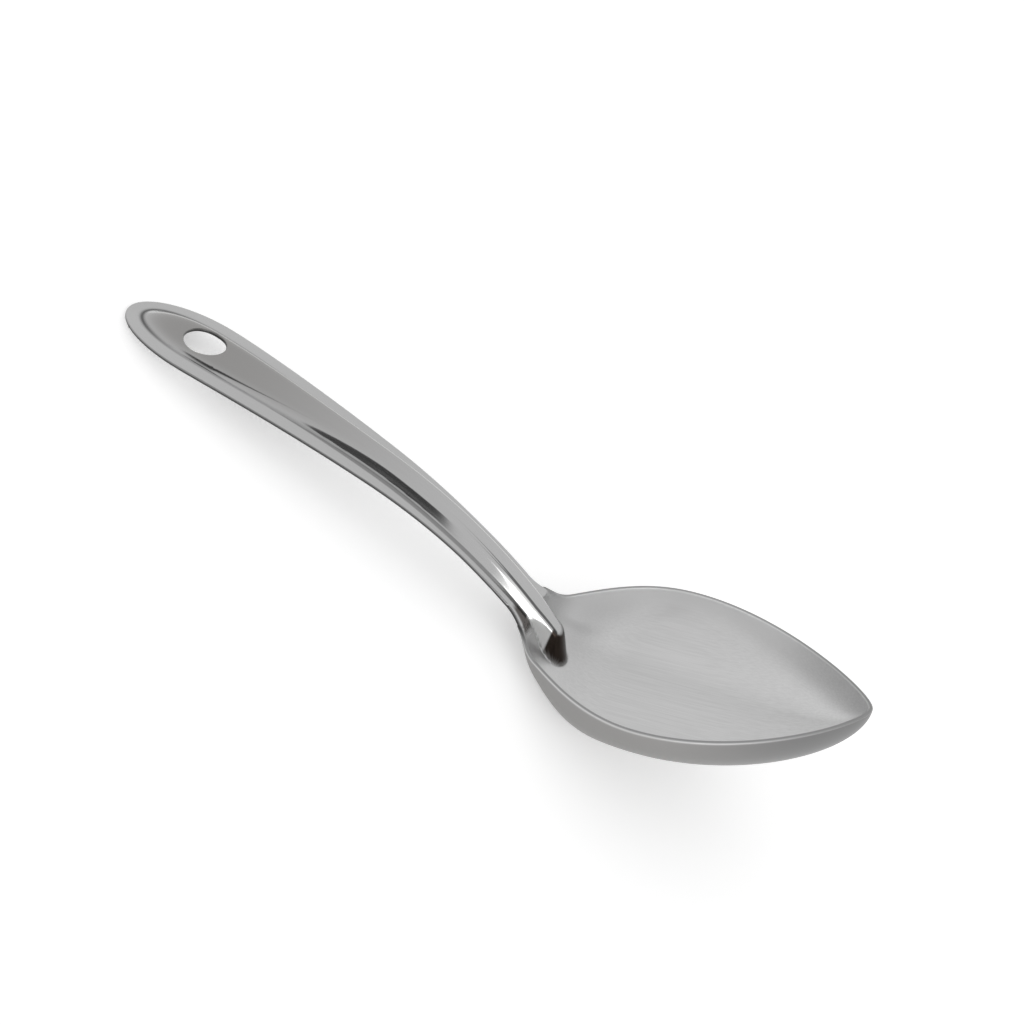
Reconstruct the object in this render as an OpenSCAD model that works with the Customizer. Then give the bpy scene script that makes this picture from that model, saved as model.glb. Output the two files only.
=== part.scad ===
// Pressed steel serving spoon: a pointed shallow bowl and a ribbed sheet handle.
// The two pressings meet face to face at the neck. The spoon lies as on a table, on the
// heel of the bowl and the end of the handle, with its length along X and the bowl towards +X.

/* [Sheet] */
// Thickness of the steel sheet
sheet = 1.1; // [0.8:0.1:1.5]

/* [Bowl] */
// Width of the bowl across its rim
bowl_w = 62; // [52:1:74]
// Length of the level rim, from the bend of the neck to the tip
bowl_l = 85.6; // [76:0.2:105]
// Depth of the floor below the rim
bowl_d = 17; // [13:0.5:20]
// Distance of the widest place from the bend of the neck
widest = 31.2; // [27:0.2:37]
// Distance from the bend to the place where the floor is deepest
deepest = 22; // [18:1:28]
// Reach of the straight flank ahead of the widest place
flank_reach = 27; // [20:1:34]
// Bluntness of the tip, as the half-width that its curve aims at
tip_blunt = 5.3; // [3:0.1:10]
// Share of the half-width over which the floor is level across the bowl
floor_flat = 0.3; // [0.2:0.05:0.4]
// Steepness of the walls beside the level floor, a higher power has steeper walls
wall_power = 2.25; // [1.8:0.05:3]
// The same between the shoulders
shoulder_power = 5; // [3:0.5:6]

/* [Neck] */
// Half of the width of the neck
neck_half = 7.8; // [7:0.1:10]
// Length of the neck on the bowl's pressing, from the seam to the bend
neck_l = 15.3; // [14:0.1:22]
// Slope of the neck above the bend, in degrees from the plane of the rim
neck_slope = 50.5; // [42:0.5:56]
// Radius of the bend between the neck and the rim
bend_r = 4.5; // [3.5:0.5:7]
// Radius of the arc in which the neck runs out into the handle
neck_r = 166; // [120:1:260]
// Distance behind the bend at which the bowl starts to dip
dip_start = 9.5; // [8:0.5:12]

/* [Handle] */
// Length of the handle along its middle, from the end to the bend of the neck
handle_l = 150; // [125:1:190]
// Half of the width of the handle at its broad end
end_half = 13; // [12:0.5:16]
// Length of the rounded end, up to the broadest place
end_round = 24.3; // [18:0.1:30]
// Distance from the bend at which the handle has narrowed to the neck
taper_stop = 32; // [25:1:50]
// Slope of the handle where its long arc starts, in degrees from the plane of the rim
handle_slope = 28.5; // [25:0.5:34]
// Radius of the handle's long arc
handle_r = 590; // [400:10:1200]

/* [Rib] */
// Width of the flat flange beside the raised end
flange = 4.5; // [3.5:0.1:5]
// Height of the raised end above its flange
end_rise = 1.7; // [1.2:0.1:2.4]
// Half of the width of the rib at its foot, along the middle of the handle and the neck
rib_half = 4.5; // [3.8:0.1:5]
// Height of the rib above its flanges along the middle of the handle
rib_rise = 3.6; // [2.4:0.1:4.4]
// Height of the rib above the line of the neck where it runs out on the bowl's back wall
nose_rise = 2.8; // [2:0.1:3.4]
// Distance past the bend at which the rounded nose of the rib reaches the floor
nose_stop = 3.8; // [3:0.1:6]
// Length of the rounded nose
nose_l = 4; // [3.5:0.1:6]

/* [Hanging hole] */
// Diameter of the hole
hole_d = 12; // [8:0.5:13]
// Distance of the hole's middle from the end of the handle
hole_inset = 24; // [21:0.5:32]

/* [Hidden] */
steel = [0.78, 0.79, 0.80];

// Rows of points along each stretch of the outline, and columns on half of a cross-section
end_rows = 11;
taper_rows = 18;
neck_rows = 5;
shoulder_rows = 30;
flank_rows = 20;
rib_columns = 7;
side_columns = 8;
// The outline starts this many degrees past the point of the end and stops at this share of the tip's curve
end_close = 5;
tip_close = 0.985;

// Control arms of the curves that shape the outline
taper_arm_end = 14;
taper_arm_neck = 22;
shoulder_arm_neck = 11.8;
shoulder_arm_bowl = 21.9;

// Powers of the rib's cross-section on the raised end, along the handle and at the nose, and of its foot
end_power = 7;
rib_power = 4.8;
nose_power = 5;
foot_power = 1.5;
// Powers of the floor's rise at the back and at the tip
back_power = 2.8;
back_foot = 1.5;
tip_power = 3.6;
wall_foot = 0.5;

// Distances behind the bend at which the raised end starts to narrow and the rib has its full height
plateau_stop = handle_l - end_round;
rib_start = 0.5 * plateau_stop;
nose_start = nose_stop - nose_l;
// Length over which the rib sinks from its full height to its nose
rib_sink = 45;
// Share of the half-width that the rib's columns may take in the bowl, and the flange left beside them
bowl_share = 0.4;
flange_least = 2;
// The drill reaches this far past both faces of the sheet
drill_reach = 6;

to_degrees = 180 / PI;
bend_len = bend_r * neck_slope / to_degrees;
neck_len = neck_r * (neck_slope - handle_slope) / to_degrees;

function mix(a, b, share) = a + (b - a) * share;
function clamped(share) = min(1, max(0, share));
function eased(share) = let (s = clamped(share)) s * s * (3 - 2 * s);
function unit(v) = v / norm(v);

function bezier(a, b, c, d, t) =
    pow(1 - t, 3) * a + 3 * pow(1 - t, 2) * t * b + 3 * (1 - t) * t * t * c + pow(t, 3) * d;

// Walks a length back along an arc whose slope turns at the given radius: [x, z, slope]
function walked(from, radius, len) =
    let (slope = from[2] + len / radius * to_degrees)
    [
        from[0] - radius * (sin(slope) - sin(from[2])),
        from[1] - radius * (cos(slope) - cos(from[2])),
        slope
    ];

// Middle line of the flanges at the distance p from the bend, negative on the handle: [x, z, slope]
bend_top = walked([0, 0, 0], bend_r, bend_len);
neck_top = walked(bend_top, -neck_r, neck_len);
function flange_line(p) =
    p >= 0 ? [p, 0, 0]
    : -p <= bend_len ? walked([0, 0, 0], bend_r, -p)
    : rib_line(p);

// The same line without the bend: the rib keeps to the neck's arc down to its nose
function rib_line(p) =
    -p <= bend_len + neck_len
        ? walked(bend_top, -neck_r, -p - bend_len)
        : walked(neck_top, -handle_r, -p - bend_len - neck_len);

// Outline of the upper face, one sheet inside the rim: each row is [distance from the bend, half-width]
end_outline = [
    for (i = [0 : end_rows])
    let (turn = mix(end_close, 90, i / end_rows))
    [-handle_l + end_round * (1 - cos(turn)), end_half * sin(turn)]
];
taper_from = [-plateau_stop, end_half];
taper_to = [-taper_stop, neck_half];
taper_outline = [
    for (i = [1 : taper_rows])
    bezier(taper_from, taper_from + [taper_arm_end, 0],
        taper_to - [taper_arm_neck, 0], taper_to, i / taper_rows)
];
neck_outline = [
    for (i = [1 : neck_rows])
    [mix(-taper_stop, -neck_l, i / neck_rows), neck_half]
];
shoulder_from = [-neck_l, neck_half];
shoulder_to = [widest, bowl_w / 2 - sheet];
shoulder_outline = [
    for (i = [1 : shoulder_rows])
    bezier(shoulder_from, shoulder_from + [shoulder_arm_neck, 0],
        shoulder_to - [shoulder_arm_bowl, 0], shoulder_to, i / shoulder_rows)
];
tip_point = [bowl_l - sheet, 0];
flank_outline = [
    for (i = [1 : flank_rows])
    bezier(shoulder_to, shoulder_to + [flank_reach, 0], tip_point + [0, tip_blunt], tip_point,
        tip_close * i / flank_rows)
];
outline = concat(end_outline, taper_outline, neck_outline, shoulder_outline, flank_outline);
seam_row = end_rows + taper_rows + neck_rows;
tip_row = len(outline) - 1;
rim_end = outline[tip_row][0];

// How far the raised end has narrowed to the rib, and how far the rib has sunk towards its nose
function narrowed(p) = eased((p + plateau_stop) / (plateau_stop - rib_start));
function sunk(p) = eased((p + rib_sink) / rib_sink);

// Half-width of the rib's foot, wide on the raised end and slim from the middle of the handle
function foot_half(p) = mix(end_half - flange, rib_half, narrowed(p));

// Height of the rib's crest above the line that it follows
function crest_rise(p) = mix(mix(end_rise, rib_rise, narrowed(p)), nose_rise, sunk(p));

// Share of the rib's height at a place: 1 on its crest, 0 past its foot, with rounded ends
function rib_share(p, y) =
    let (
        end_part = max(0, -plateau_stop - p) / (end_round - flange),
        nose_part = max(0, p - nose_start) / nose_l,
        away = norm([end_part, nose_part, y / foot_half(p)]),
        power = mix(mix(end_power, rib_power, narrowed(p)), nose_power, sunk(p))
    )
    away >= 1 ? 0 : pow(1 - pow(away, power), foot_power);

// Share of the bowl's depth along the middle line, 0 on the neck and at the tip
function depth_share(p) =
    p < deepest
        ? pow(1 - pow(1 - clamped((p + dip_start) / (deepest + dip_start)), back_power), back_foot)
        : pow(1 - pow(clamped((p - deepest) / (rim_end - deepest)), tip_power), wall_foot);

// A point of the upper face: the dished sheet, drawn up to the rib's crest where the rib runs
function upper_point(p, y, half) =
    let (
        line = flange_line(p),
        power = mix(shoulder_power, wall_power, eased((p + dip_start) / (widest + dip_start))),
        up_wall = clamped((abs(y) / half - floor_flat) / (1 - floor_flat)),
        wall = pow(1 - pow(up_wall, power), wall_foot),
        dished = [line[0], y, line[1] - bowl_d * depth_share(p) * wall],
        ridge = rib_line(p),
        rise = crest_rise(p),
        crest = [ridge[0] + rise * sin(ridge[2]), y, ridge[1] + rise * cos(ridge[2])]
    )
    mix(dished, crest, rib_share(p, y));

// Places of the columns across half of a row, from the middle to the edge: on the handle they follow the
// rib's foot, in the bowl they gather with the closing rim
function half_columns(p, half) =
    let (
        inner_share = p < 0 ? 1 - flange_least / neck_half : bowl_share,
        inner = min(foot_half(p), inner_share * half)
    )
    concat(
        [for (i = [0 : rib_columns]) inner * i / rib_columns],
        [for (i = [1 : side_columns]) inner + (half - inner) * sin(90 * i / side_columns)]
    );
half_count = rib_columns + side_columns;
last_column = 2 * half_count;
upper = [
    for (row = outline)
    let (ys = half_columns(row[0], row[1]))
    [
        for (j = [0 : last_column])
        let (y = j < half_count ? -ys[half_count - j] : ys[j - half_count])
        upper_point(row[0], y, row[1])
    ]
];

// The lower face lies one sheet below, square to the upper face
function face_normal(i, j) =
    let (
        along = upper[min(i + 1, tip_row)][j] - upper[max(i - 1, 0)][j],
        row = upper[min(i, tip_row - 1)],
        across = row[min(j + 1, last_column)] - row[max(j - 1, 0)]
    )
    unit(cross(along, across));
lower = [
    for (i = [0 : tip_row])
    [for (j = [0 : last_column]) upper[i][j] - sheet * face_normal(i, j)]
];

// Tilt at which the end of the handle and the heel of the bowl both touch the table
end_touch = lower[0][half_count];
tilt = max([
    for (i = [seam_row : tip_row])
    for (q = lower[i])
    atan2(end_touch[2] - q[2], q[0] - end_touch[0])
]);
function tilted(q) = [q[0] * cos(tilt) - q[2] * sin(tilt), q[1], q[0] * sin(tilt) + q[2] * cos(tilt)];

// The origin lies on the table under the middle of the spoon's length
lying = [for (face = [upper, lower]) for (row = face) for (q = row) tilted(q)];
lying_x = [for (q = lying) q[0]];
lying_z = [for (q = lying) q[2]];
origin = [(min(lying_x) + max(lying_x)) / 2, 0, min(lying_z)];

// A closed sheet between two rows of the grid
module pressing(first, last) {
    rows = last - first;
    columns = last_column + 1;
    face_size = (rows + 1) * columns;
    points = [for (face = [upper, lower]) for (i = [first : last]) for (q = face[i]) tilted(q) - origin];
    function at(face, i, j) = face * face_size + i * columns + j;
    function split(a, b, c, d) = [[a, b, c], [a, c, d]];
    faces = concat(
        [
            for (i = [0 : rows - 1])
            for (j = [0 : last_column - 1])
            each split(at(0, i, j), at(0, i, j + 1), at(0, i + 1, j + 1), at(0, i + 1, j))
        ],
        [
            for (i = [0 : rows - 1])
            for (j = [0 : last_column - 1])
            each split(at(1, i, j), at(1, i + 1, j), at(1, i + 1, j + 1), at(1, i, j + 1))
        ],
        [
            for (i = [0 : rows - 1])
            each split(at(0, i, 0), at(0, i + 1, 0), at(1, i + 1, 0), at(1, i, 0))
        ],
        [
            for (i = [0 : rows - 1])
            each split(at(0, i, last_column), at(1, i, last_column),
                at(1, i + 1, last_column), at(0, i + 1, last_column))
        ],
        [
            for (j = [0 : last_column - 1])
            each split(at(0, 0, j), at(1, 0, j), at(1, 0, j + 1), at(0, 0, j + 1))
        ],
        [
            for (j = [0 : last_column - 1])
            each split(at(0, rows, j), at(0, rows, j + 1), at(1, rows, j + 1), at(1, rows, j))
        ]
    );
    polyhedron(points, faces);
}

// The hanging hole is drilled square to the raised end
module hanging_hole() {
    p = hole_inset - handle_l;
    line = rib_line(p);
    rise = crest_rise(p);
    middle = [line[0] + rise * sin(line[2]), 0, line[1] + rise * cos(line[2])];
    translate(tilted(middle) - origin)
    rotate([0, line[2] - tilt, 0])
    cylinder(d = hole_d, h = 2 * drill_reach, center = true, $fn = 64);
}

module bowl() {
    color(steel)
    pressing(seam_row, tip_row);
}

module handle() {
    color(steel)
    difference() {
        pressing(0, seam_row);
        hanging_hole();
    }
}

bowl();
handle();
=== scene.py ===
"""Pressed steel serving spoon on a pale studio floor: a satin pointed bowl and a polished ribbed handle."""

import logging
import math
from dataclasses import dataclass
from enum import Enum
from typing import Any, Dict, List, Optional, Sequence, Tuple, Union

import bpy
import numpy as np
from mathutils import Matrix, Vector

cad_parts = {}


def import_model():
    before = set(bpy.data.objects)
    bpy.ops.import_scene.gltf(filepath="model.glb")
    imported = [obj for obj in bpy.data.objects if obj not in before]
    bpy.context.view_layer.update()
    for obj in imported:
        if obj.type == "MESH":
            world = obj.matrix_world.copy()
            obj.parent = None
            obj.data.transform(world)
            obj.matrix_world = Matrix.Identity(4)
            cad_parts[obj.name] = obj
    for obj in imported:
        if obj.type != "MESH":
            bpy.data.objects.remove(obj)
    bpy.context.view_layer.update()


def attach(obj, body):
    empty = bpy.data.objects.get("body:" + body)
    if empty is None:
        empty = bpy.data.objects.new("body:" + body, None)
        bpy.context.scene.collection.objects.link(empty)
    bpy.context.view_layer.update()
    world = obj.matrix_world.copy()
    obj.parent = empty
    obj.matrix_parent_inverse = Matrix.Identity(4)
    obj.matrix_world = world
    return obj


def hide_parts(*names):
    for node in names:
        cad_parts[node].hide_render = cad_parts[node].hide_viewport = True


LOG = logging.getLogger("spoon")

MILLIMETRE = 0.001
ROOT_BODY = "root"

Key = Union[int, str]
Span = Tuple[float, float]
Triple = Tuple[float, float, float]
Block = Tuple[int, int, int, int]
MeshParts = Tuple[np.ndarray, List[Tuple[int, ...]], Dict[str, np.ndarray]]


class Signal:
    """A node's output that turns arithmetic into Math and Vector Math nodes."""

    def __init__(self, maker: "NodeMaker", socket: bpy.types.NodeSocket) -> None:
        """Keeps the socket and the maker that adds nodes beside it."""
        self.maker = maker
        self.socket = socket

    def _combine(self, operation: str, first: Any, second: Any) -> "Signal":
        """Adds the node for one operation.

        Args:
            operation: Name of the Math or Vector Math operation.
            first: Left side, a signal or a plain value.
            second: Right side, a signal or a plain value.

        Returns:
            The result as a new signal.
        """
        sides = {0: first, 1: second}
        if self.socket.type != "VECTOR":
            return self.maker.node("ShaderNodeMath", {"operation": operation}, sides)["Value"]
        if operation == "MULTIPLY":
            vector, scale = (first, second) if first is self else (second, first)
            return self.maker.node("ShaderNodeVectorMath", {"operation": "SCALE"},
                                   {"Vector": vector, "Scale": scale})["Vector"]
        return self.maker.node("ShaderNodeVectorMath", {"operation": operation}, sides)["Vector"]

    def __add__(self, other: Any) -> "Signal":
        """Sum with a value or a signal."""
        return self._combine("ADD", self, other)

    def __radd__(self, other: Any) -> "Signal":
        """Sum with a value on the left."""
        return self._combine("ADD", other, self)

    def __sub__(self, other: Any) -> "Signal":
        """Difference from a value or a signal."""
        return self._combine("SUBTRACT", self, other)

    def __rsub__(self, other: Any) -> "Signal":
        """Difference with a value on the left."""
        return self._combine("SUBTRACT", other, self)

    def __mul__(self, other: Any) -> "Signal":
        """Product with a value or a signal."""
        return self._combine("MULTIPLY", self, other)

    def __rmul__(self, other: Any) -> "Signal":
        """Product with a value on the left."""
        return self._combine("MULTIPLY", other, self)

    def between(self, low: float, high: float) -> "Signal":
        """Smooth step of this value.

        Args:
            low: Value that gives 0.
            high: Value that gives 1.

        Returns:
            The eased share between the two, held at 0 and 1 outside them.
        """
        return self.maker.node("ShaderNodeMapRange", {"interpolation_type": "SMOOTHSTEP"},
                               {"Value": self, "From Min": low, "From Max": high})["Result"]


class MadeNode:
    """A node whose outputs are read as signals."""

    def __init__(self, maker: "NodeMaker", node: bpy.types.Node) -> None:
        """Keeps the node and its maker."""
        self.maker = maker
        self.node = node

    def __getitem__(self, key: Key) -> Signal:
        """Output of that identifier, name or index."""
        return Signal(self.maker, NodeMaker.find(self.node.outputs, key))


class NodeMaker:
    """Adds nodes to one tree, with their settings before their inputs."""

    def __init__(self, tree: bpy.types.NodeTree) -> None:
        """Keeps the tree that the nodes go into."""
        self.tree = tree

    @staticmethod
    def find(sockets: Any, key: Key) -> bpy.types.NodeSocket:
        """Looks a socket up.

        Args:
            sockets: A node's inputs or outputs.
            key: Identifier, name or index.

        Returns:
            The socket.
        """
        if isinstance(key, int):
            return sockets[key]
        for socket in sockets:
            if socket.identifier == key:
                return socket
        return next(socket for socket in sockets if socket.name == key and socket.enabled)

    def node(self, kind: str, settings: Dict[str, Any], inputs: Dict[Key, Any]) -> MadeNode:
        """Adds one node.

        Args:
            kind: Blender's type name of the node.
            settings: Properties of the node, set before its inputs.
            inputs: Values or signals by socket.

        Returns:
            The node, whose outputs are read by name.
        """
        made = self.tree.nodes.new(kind)
        for name, value in settings.items():
            setattr(made, name, value)
        for key, value in inputs.items():
            socket = self.find(made.inputs, key)
            if isinstance(value, Signal):
                self.tree.links.new(value.socket, socket)
            else:
                socket.default_value = value
        return MadeNode(self, made)


@dataclass(frozen=True)
class SheetSizes:
    """Sizes of the spoon in millimetres, with slopes in degrees, and powers and shares as plain numbers."""

    sheet: float = 1.1
    edge_reach: float = 0.3
    bowl_w: float = 62.0
    bowl_l: float = 85.6
    bowl_d: float = 17.0
    widest: float = 31.2
    deepest: float = 22.0
    flank_reach: float = 27.0
    tip_blunt: float = 5.3
    floor_flat: float = 0.3
    wall_power: float = 2.25
    shoulder_power: float = 5.0
    neck_half: float = 7.8
    neck_l: float = 15.3
    neck_slope: float = 50.5
    bend_r: float = 4.5
    neck_r: float = 166.0
    dip_start: float = 9.5
    handle_l: float = 150.0
    end_half: float = 13.0
    end_round: float = 24.3
    taper_stop: float = 32.0
    handle_slope: float = 28.5
    handle_r: float = 590.0
    flange: float = 4.5
    end_rise: float = 1.7
    rib_half: float = 4.5
    rib_rise: float = 3.6
    nose_rise: float = 2.8
    nose_stop: float = 3.8
    nose_l: float = 4.0
    rib_sink: float = 45.0
    hole_d: float = 12.0
    hole_inset: float = 24.0
    taper_arm_end: float = 14.0
    taper_arm_neck: float = 22.0
    shoulder_arm_neck: float = 11.8
    shoulder_arm_bowl: float = 21.9
    end_power: float = 7.0
    rib_power: float = 4.8
    nose_power: float = 5.0
    foot_power: float = 1.5
    back_power: float = 2.8
    back_foot: float = 1.5
    tip_power: float = 3.6
    wall_foot: float = 0.5
    rest_tilt: float = 33.8833
    rest_x: float = -37.5755
    rest_z: float = -8.82561


def eased(share: np.ndarray) -> np.ndarray:
    """Smooth step of a share, held between 0 and 1."""
    held = np.clip(share, 0.0, 1.0)
    return held * held * (3.0 - 2.0 * held)


def risen(value: np.ndarray, span: Span) -> np.ndarray:
    """Smooth step of a value, 0 before a span and 1 after it."""
    return eased((value - span[0]) / (span[1] - span[0]))


def mix(first: Any, second: Any, share: Any) -> Any:
    """Value at a share of the way from the first to the second."""
    return first + (second - first) * share


def bezier(corners: Sequence[Span], samples: int) -> np.ndarray:
    """Points of a cubic curve.

    Args:
        corners: Its four control points.
        samples: How many points it gets.

    Returns:
        Array of points, both ends included.
    """
    t = np.linspace(0.0, 1.0, samples)[:, None]
    a, b, c, d = (np.array(corner, dtype=float) for corner in corners)
    return (1 - t) ** 3 * a + 3 * (1 - t) ** 2 * t * b + 3 * (1 - t) * t * t * c + t ** 3 * d


class SpoonSurface:
    """Rule of the spoon's upper face: distance from the neck's bend and place across give a point."""

    CURVE_SAMPLES = 600
    TINY = 1e-6

    # The marks below use distances from the neck's bend, which are negative up the handle, and shares.
    # Painted shade in the groove at the rib's foot: half widths along the rib and round the end, strength,
    # and fade at the neck.
    GROOVE_SHADE_HALF = (0.35, 0.60)
    GROOVE_SHADE_FAINT = 0.4
    GROOVE_SHADE_FADE = (-60.0, -30.0)
    # Polish: where it stops on the flanges, and the share of the rib's height that has all of it.
    POLISH_SPAN = (-9.0, -4.0)
    POLISH_RIB = 0.06
    # Painted dark reflection on the nose: its back, its slant and fade there, and shares of the way down to
    # the foot.
    NOSE_DARK_BACK = -1.2
    NOSE_DARK_SLANT = 0.27
    NOSE_DARK_FADE = 0.5
    NOSE_DARK_TOP = (0.40, 0.52)
    NOSE_DARK_FOOT = (0.92, 1.04)
    # Painted dark reflection on the near shoulder: span and fades along it, room beside the rib and the
    # edge, strength.
    SHOULDER_SPAN = (-15.2, -7.8)
    SHOULDER_FADE = (2.5, 1.2)
    SHOULDER_RIB = 0.12
    SHOULDER_EDGE = (0.84, 0.96)
    SHOULDER_STRENGTH = 0.85
    # Painted highlight that brightens the walls of the rib at the neck: where it starts, and shares of the
    # rib's height.
    SHINE_SPAN = (-26.0, -16.0)
    SHINE_FOOT = 0.15
    SHINE_TOP = (0.70, 0.95)
    # Painted light on the dish walls: depth share that ends it at the back and in front, and spans along
    # the bowl.
    DISH_DEEP = (0.95, 0.60)
    DISH_BACK = (5.0, 30.0)
    DISH_FADE = (55.0, 78.0)
    DISH_START = (-6.0, 2.0)
    # Where the underside darkens towards the tip, and where the raised end's painted shade and duller
    # finish have faded out.
    SHADE_SPAN = (35.0, 75.0)
    RAISED_STOP = -30.0

    def __init__(self, sizes: SheetSizes) -> None:
        """Works out the lines and the outline that the rule needs.

        Args:
            sizes: Sizes of the spoon.
        """
        self.sizes = sizes
        self.bend_slope = math.radians(sizes.neck_slope)
        self.bend_len = sizes.bend_r * self.bend_slope
        self.neck_len = sizes.neck_r * (self.bend_slope - math.radians(sizes.handle_slope))
        self.plateau_stop = sizes.handle_l - sizes.end_round
        self.rib_start = 0.5 * self.plateau_stop
        self.nose_start = sizes.nose_stop - sizes.nose_l
        self.bend_top = self.walked((0.0, 0.0, 0.0), sizes.bend_r, self.bend_len)
        self.neck_top = self.walked(self.bend_top, -sizes.neck_r, self.neck_len)
        self.rim = self.outline()
        steps = np.linalg.norm(np.diff(self.rim, axis=0), axis=1)
        self.rim_length = np.concatenate([[0.0], np.cumsum(steps)])
        self.tip = float(self.rim[-1, 0])

    @staticmethod
    def walked(start: Triple, radius: float, length: Any) -> Tuple[Any, Any, Any]:
        """Walks back along an arc.

        Args:
            start: Place and slope at the start, as x, z and radians.
            radius: Radius at which the slope turns.
            length: Length of the walk.

        Returns:
            Place and slope at the end of the walk.
        """
        slope = start[2] + length / radius
        x = start[0] - radius * (np.sin(slope) - math.sin(start[2]))
        z = start[1] - radius * (np.cos(slope) - math.cos(start[2]))
        return x, z, slope

    def outline(self) -> np.ndarray:
        """Draws the outline of the upper face on one side.

        Returns:
            Places along and across, from the end of the handle to the tip.
        """
        s = self.sizes
        turn = np.linspace(0.0, 0.5 * math.pi, self.CURVE_SAMPLES)
        end = np.stack([-s.handle_l + s.end_round * (1 - np.cos(turn)), s.end_half * np.sin(turn)], axis=1)
        broad = (-self.plateau_stop, s.end_half)
        narrow = (-s.taper_stop, s.neck_half)
        taper = bezier([broad, (broad[0] + s.taper_arm_end, broad[1]),
                        (narrow[0] - s.taper_arm_neck, narrow[1]), narrow], self.CURVE_SAMPLES)
        seam = (-s.neck_l, s.neck_half)
        wide = (s.widest, 0.5 * s.bowl_w - s.sheet)
        shoulder = bezier([seam, (seam[0] + s.shoulder_arm_neck, seam[1]),
                           (wide[0] - s.shoulder_arm_bowl, wide[1]), wide], self.CURVE_SAMPLES)
        tip = (s.bowl_l - s.sheet, 0.0)
        flank = bezier([wide, (wide[0] + s.flank_reach, wide[1]), (tip[0], s.tip_blunt), tip],
                       self.CURVE_SAMPLES)
        rim = np.concatenate([end, taper[1:], shoulder, flank[1:]])
        return self.inset(rim)

    def inset(self, rim: np.ndarray) -> np.ndarray:
        """Draws the handle's outline in by the reach of its rounded edge.

        Args:
            rim: Places of the full outline.

        Returns:
            The places, moved in fully on the handle and less and less towards the widest part of the bowl.
        """
        s = self.sizes
        on_handle = 1.0 - risen(rim[:, 0], (-s.neck_l, s.widest))
        steps = np.gradient(rim, axis=0)
        steps /= np.linalg.norm(steps, axis=1)[:, None]
        inward = np.stack([steps[:, 1], -steps[:, 0]], axis=1)
        moved = rim + inward * (s.edge_reach * on_handle)[:, None]
        moved[0, 1] = 0.0
        return moved

    def rim_at(self, length: np.ndarray) -> np.ndarray:
        """Outline points at lengths along it from the end of the handle."""
        columns = [np.interp(length, self.rim_length, self.rim[:, axis]) for axis in range(2)]
        return np.stack(columns, axis=-1)

    def rim_length_at(self, along: float) -> float:
        """Length along the outline at a distance from the bend."""
        return float(np.interp(along, self.rim[:, 0], self.rim_length))

    def half_width(self, along: np.ndarray) -> np.ndarray:
        """Half of the outline's width at distances from the bend."""
        return np.interp(along, self.rim[:, 0], self.rim[:, 1])

    def rib_line(self, along: np.ndarray) -> Tuple[np.ndarray, np.ndarray, np.ndarray]:
        """Follows the handle's arc, then the neck's arc down to the nose.

        Args:
            along: Distances from the neck's bend.

        Returns:
            Place and slope of the rib's line there, as x, z and radians.
        """
        s = self.sizes
        on_neck = self.walked(self.bend_top, -s.neck_r, -along - self.bend_len)
        on_handle = self.walked(self.neck_top, -s.handle_r, -along - self.bend_len - self.neck_len)
        neck = -along <= self.bend_len + self.neck_len
        return tuple(np.where(neck, near, far) for near, far in zip(on_neck, on_handle))

    def flange_line(self, along: np.ndarray) -> Tuple[np.ndarray, np.ndarray]:
        """Follows the middle line of the flanges, which bends into the level rim of the bowl.

        Args:
            along: Distances from the neck's bend.

        Returns:
            Place of the line there, as x and z.
        """
        rib_x, rib_z, _ = self.rib_line(along)
        bend_x, bend_z, _ = self.walked((0.0, 0.0, 0.0), self.sizes.bend_r, -along)
        in_bend = -along <= self.bend_len
        level = along >= 0.0
        x = np.where(level, along, np.where(in_bend, bend_x, rib_x))
        z = np.where(level, 0.0, np.where(in_bend, bend_z, rib_z))
        return x, z

    def narrowed(self, along: np.ndarray) -> np.ndarray:
        """How far the raised end has narrowed to the rib."""
        return risen(along, (-self.plateau_stop, -self.rib_start))

    def sunk(self, along: np.ndarray) -> np.ndarray:
        """How far the rib has sunk towards its nose."""
        return risen(along, (-self.sizes.rib_sink, 0.0))

    def rib_away(self, along: np.ndarray, across: np.ndarray) -> Tuple[np.ndarray, np.ndarray]:
        """Place of points against the rib's foot.

        Args:
            along: Distances from the neck's bend.
            across: Places across the spoon.

        Returns:
            Share of the way from the rib's middle to its foot, and millimetres past the foot.
        """
        s = self.sizes
        foot_half = mix(s.end_half - s.flange, s.rib_half, self.narrowed(along))
        end_l = s.end_round - s.flange
        end_part = np.maximum(0.0, -self.plateau_stop - along) / end_l
        nose_part = np.maximum(0.0, along - self.nose_start) / s.nose_l
        side_part = across / foot_half
        away = np.sqrt(end_part ** 2 + nose_part ** 2 + side_part ** 2)
        slopes = (end_part / end_l, nose_part / s.nose_l, side_part / foot_half)
        steepness = np.sqrt(sum(slope ** 2 for slope in slopes))
        past_foot = (away - 1.0) * np.maximum(away, self.TINY) / np.maximum(steepness, self.TINY)
        return away, past_foot

    def rib_share(self, along: np.ndarray, across: np.ndarray) -> np.ndarray:
        """Share of the rib's height at places.

        Args:
            along: Distances from the neck's bend.
            across: Places across the spoon.

        Returns:
            1 on the rib's crest and 0 past its foot.
        """
        s = self.sizes
        away, _ = self.rib_away(along, across)
        power = mix(mix(s.end_power, s.rib_power, self.narrowed(along)), s.nose_power, self.sunk(along))
        return (1.0 - np.minimum(away, 1.0) ** power) ** s.foot_power

    def groove_shade(self, along: np.ndarray, across: np.ndarray) -> np.ndarray:
        """Mark of the painted shade in the groove along the rib's foot.

        Args:
            along: Distances from the neck's bend.
            across: Places across the spoon.

        Returns:
            The mark, strongest round the raised end and 0 away from the foot.
        """
        _, past_foot = self.rib_away(along, across)
        on_end = eased((-self.plateau_stop - along) / (self.sizes.end_round - self.sizes.flange))
        half = mix(*self.GROOVE_SHADE_HALF, on_end)
        strength = mix(self.GROOVE_SHADE_FAINT, 1.0, on_end) * (1.0 - risen(along, self.GROOVE_SHADE_FADE))
        return strength * np.exp(-(past_foot / half) ** 2)

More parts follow.
